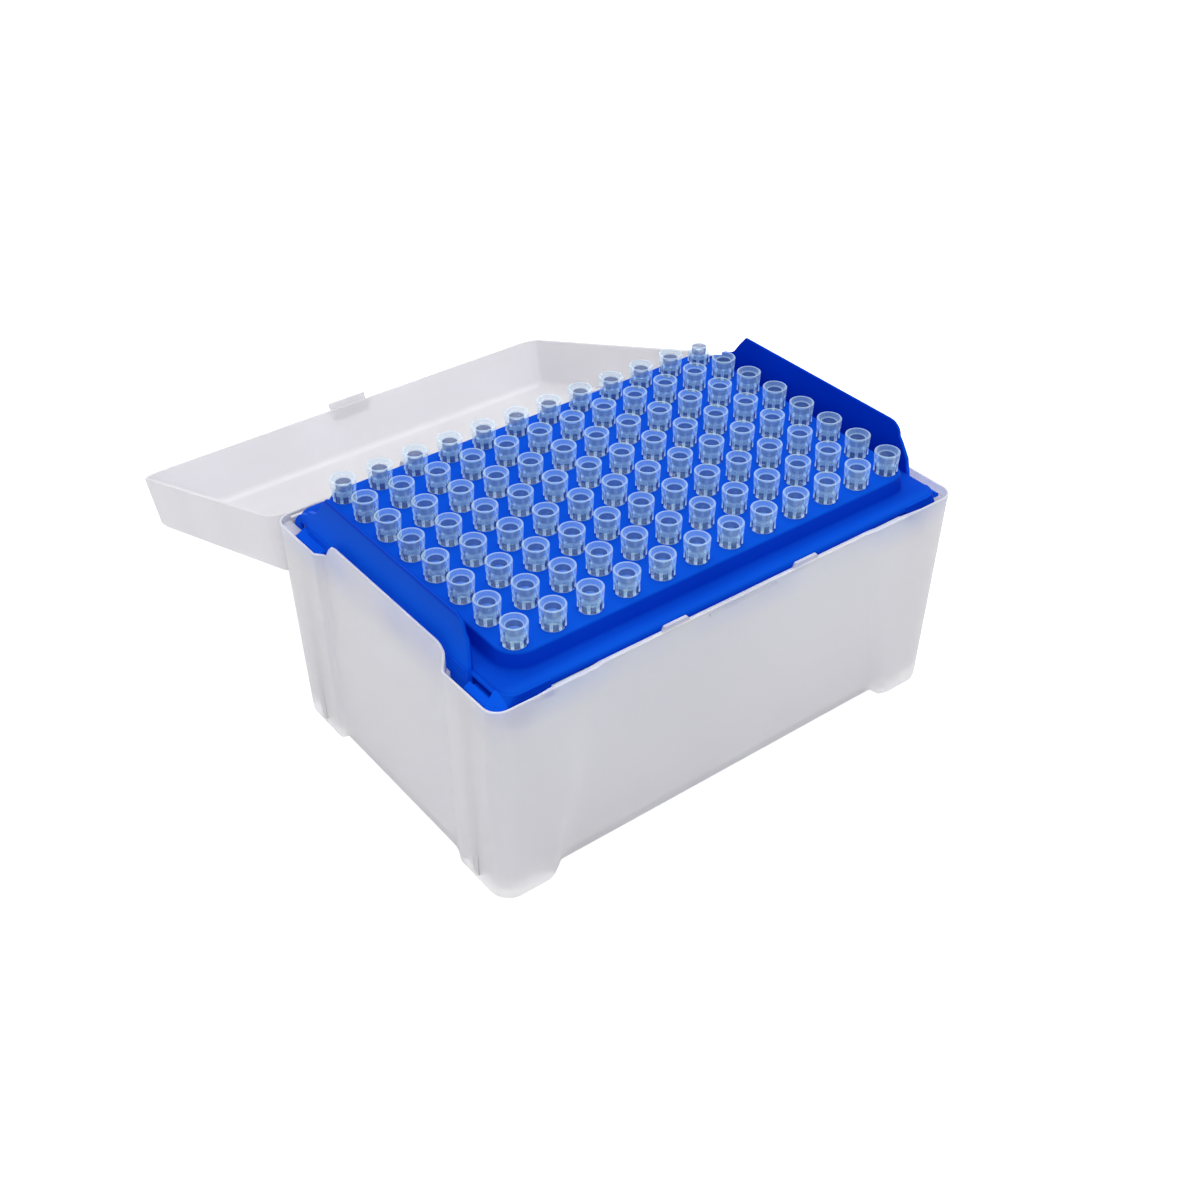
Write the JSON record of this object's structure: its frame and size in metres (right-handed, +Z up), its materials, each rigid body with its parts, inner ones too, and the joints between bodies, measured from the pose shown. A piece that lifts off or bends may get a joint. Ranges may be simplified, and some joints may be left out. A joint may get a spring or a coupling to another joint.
{
  "type": "box of pipette tips",
  "caption": "Rectangular frosted box with a hinged lid standing open, and a blue rack inside that holds a grid of clear pipette tips upright for a pipette to pick up.",
  "frame": {"origin": "middle of the footprint, on the bench that the four feet stand on", "axes": "+X along the long side of the box, +Y to the back where the hinge is, +Z up"},
  "size_m": [0.1242, 0.1639, 0.0642],
  "materials": {
    "frosted_base": "frosted natural polypropylene",
    "frosted_lid": "frosted natural polypropylene",
    "blue_rack": "satin moulded polypropylene",
    "clear_tip": "clear polished polypropylene"
  },
  "bodies": {
    "box": {"base": "frosted_base", "rack": "blue_rack", "tips_column_01": "clear_tip", "tips_column_02": "clear_tip", "tips_column_03": "clear_tip", "tips_column_04": "clear_tip", "tips_column_05": "clear_tip", "tips_column_06": "clear_tip", "tips_column_07": "clear_tip", "tips_column_08": "clear_tip", "tips_column_09": "clear_tip", "tips_column_10": "clear_tip", "tips_column_11": "clear_tip", "tips_column_12": "clear_tip"},
    "lid": {"lid": "frosted_lid"}
  },
  "joints": [
    {"name": "lid_hinge", "type": "hinge", "parent": "box", "child": "lid", "pos_m": [0, 0.04195, 0.05173], "axis": [1, 0, 0], "range_deg": [0, 200.2]}
  ]
}
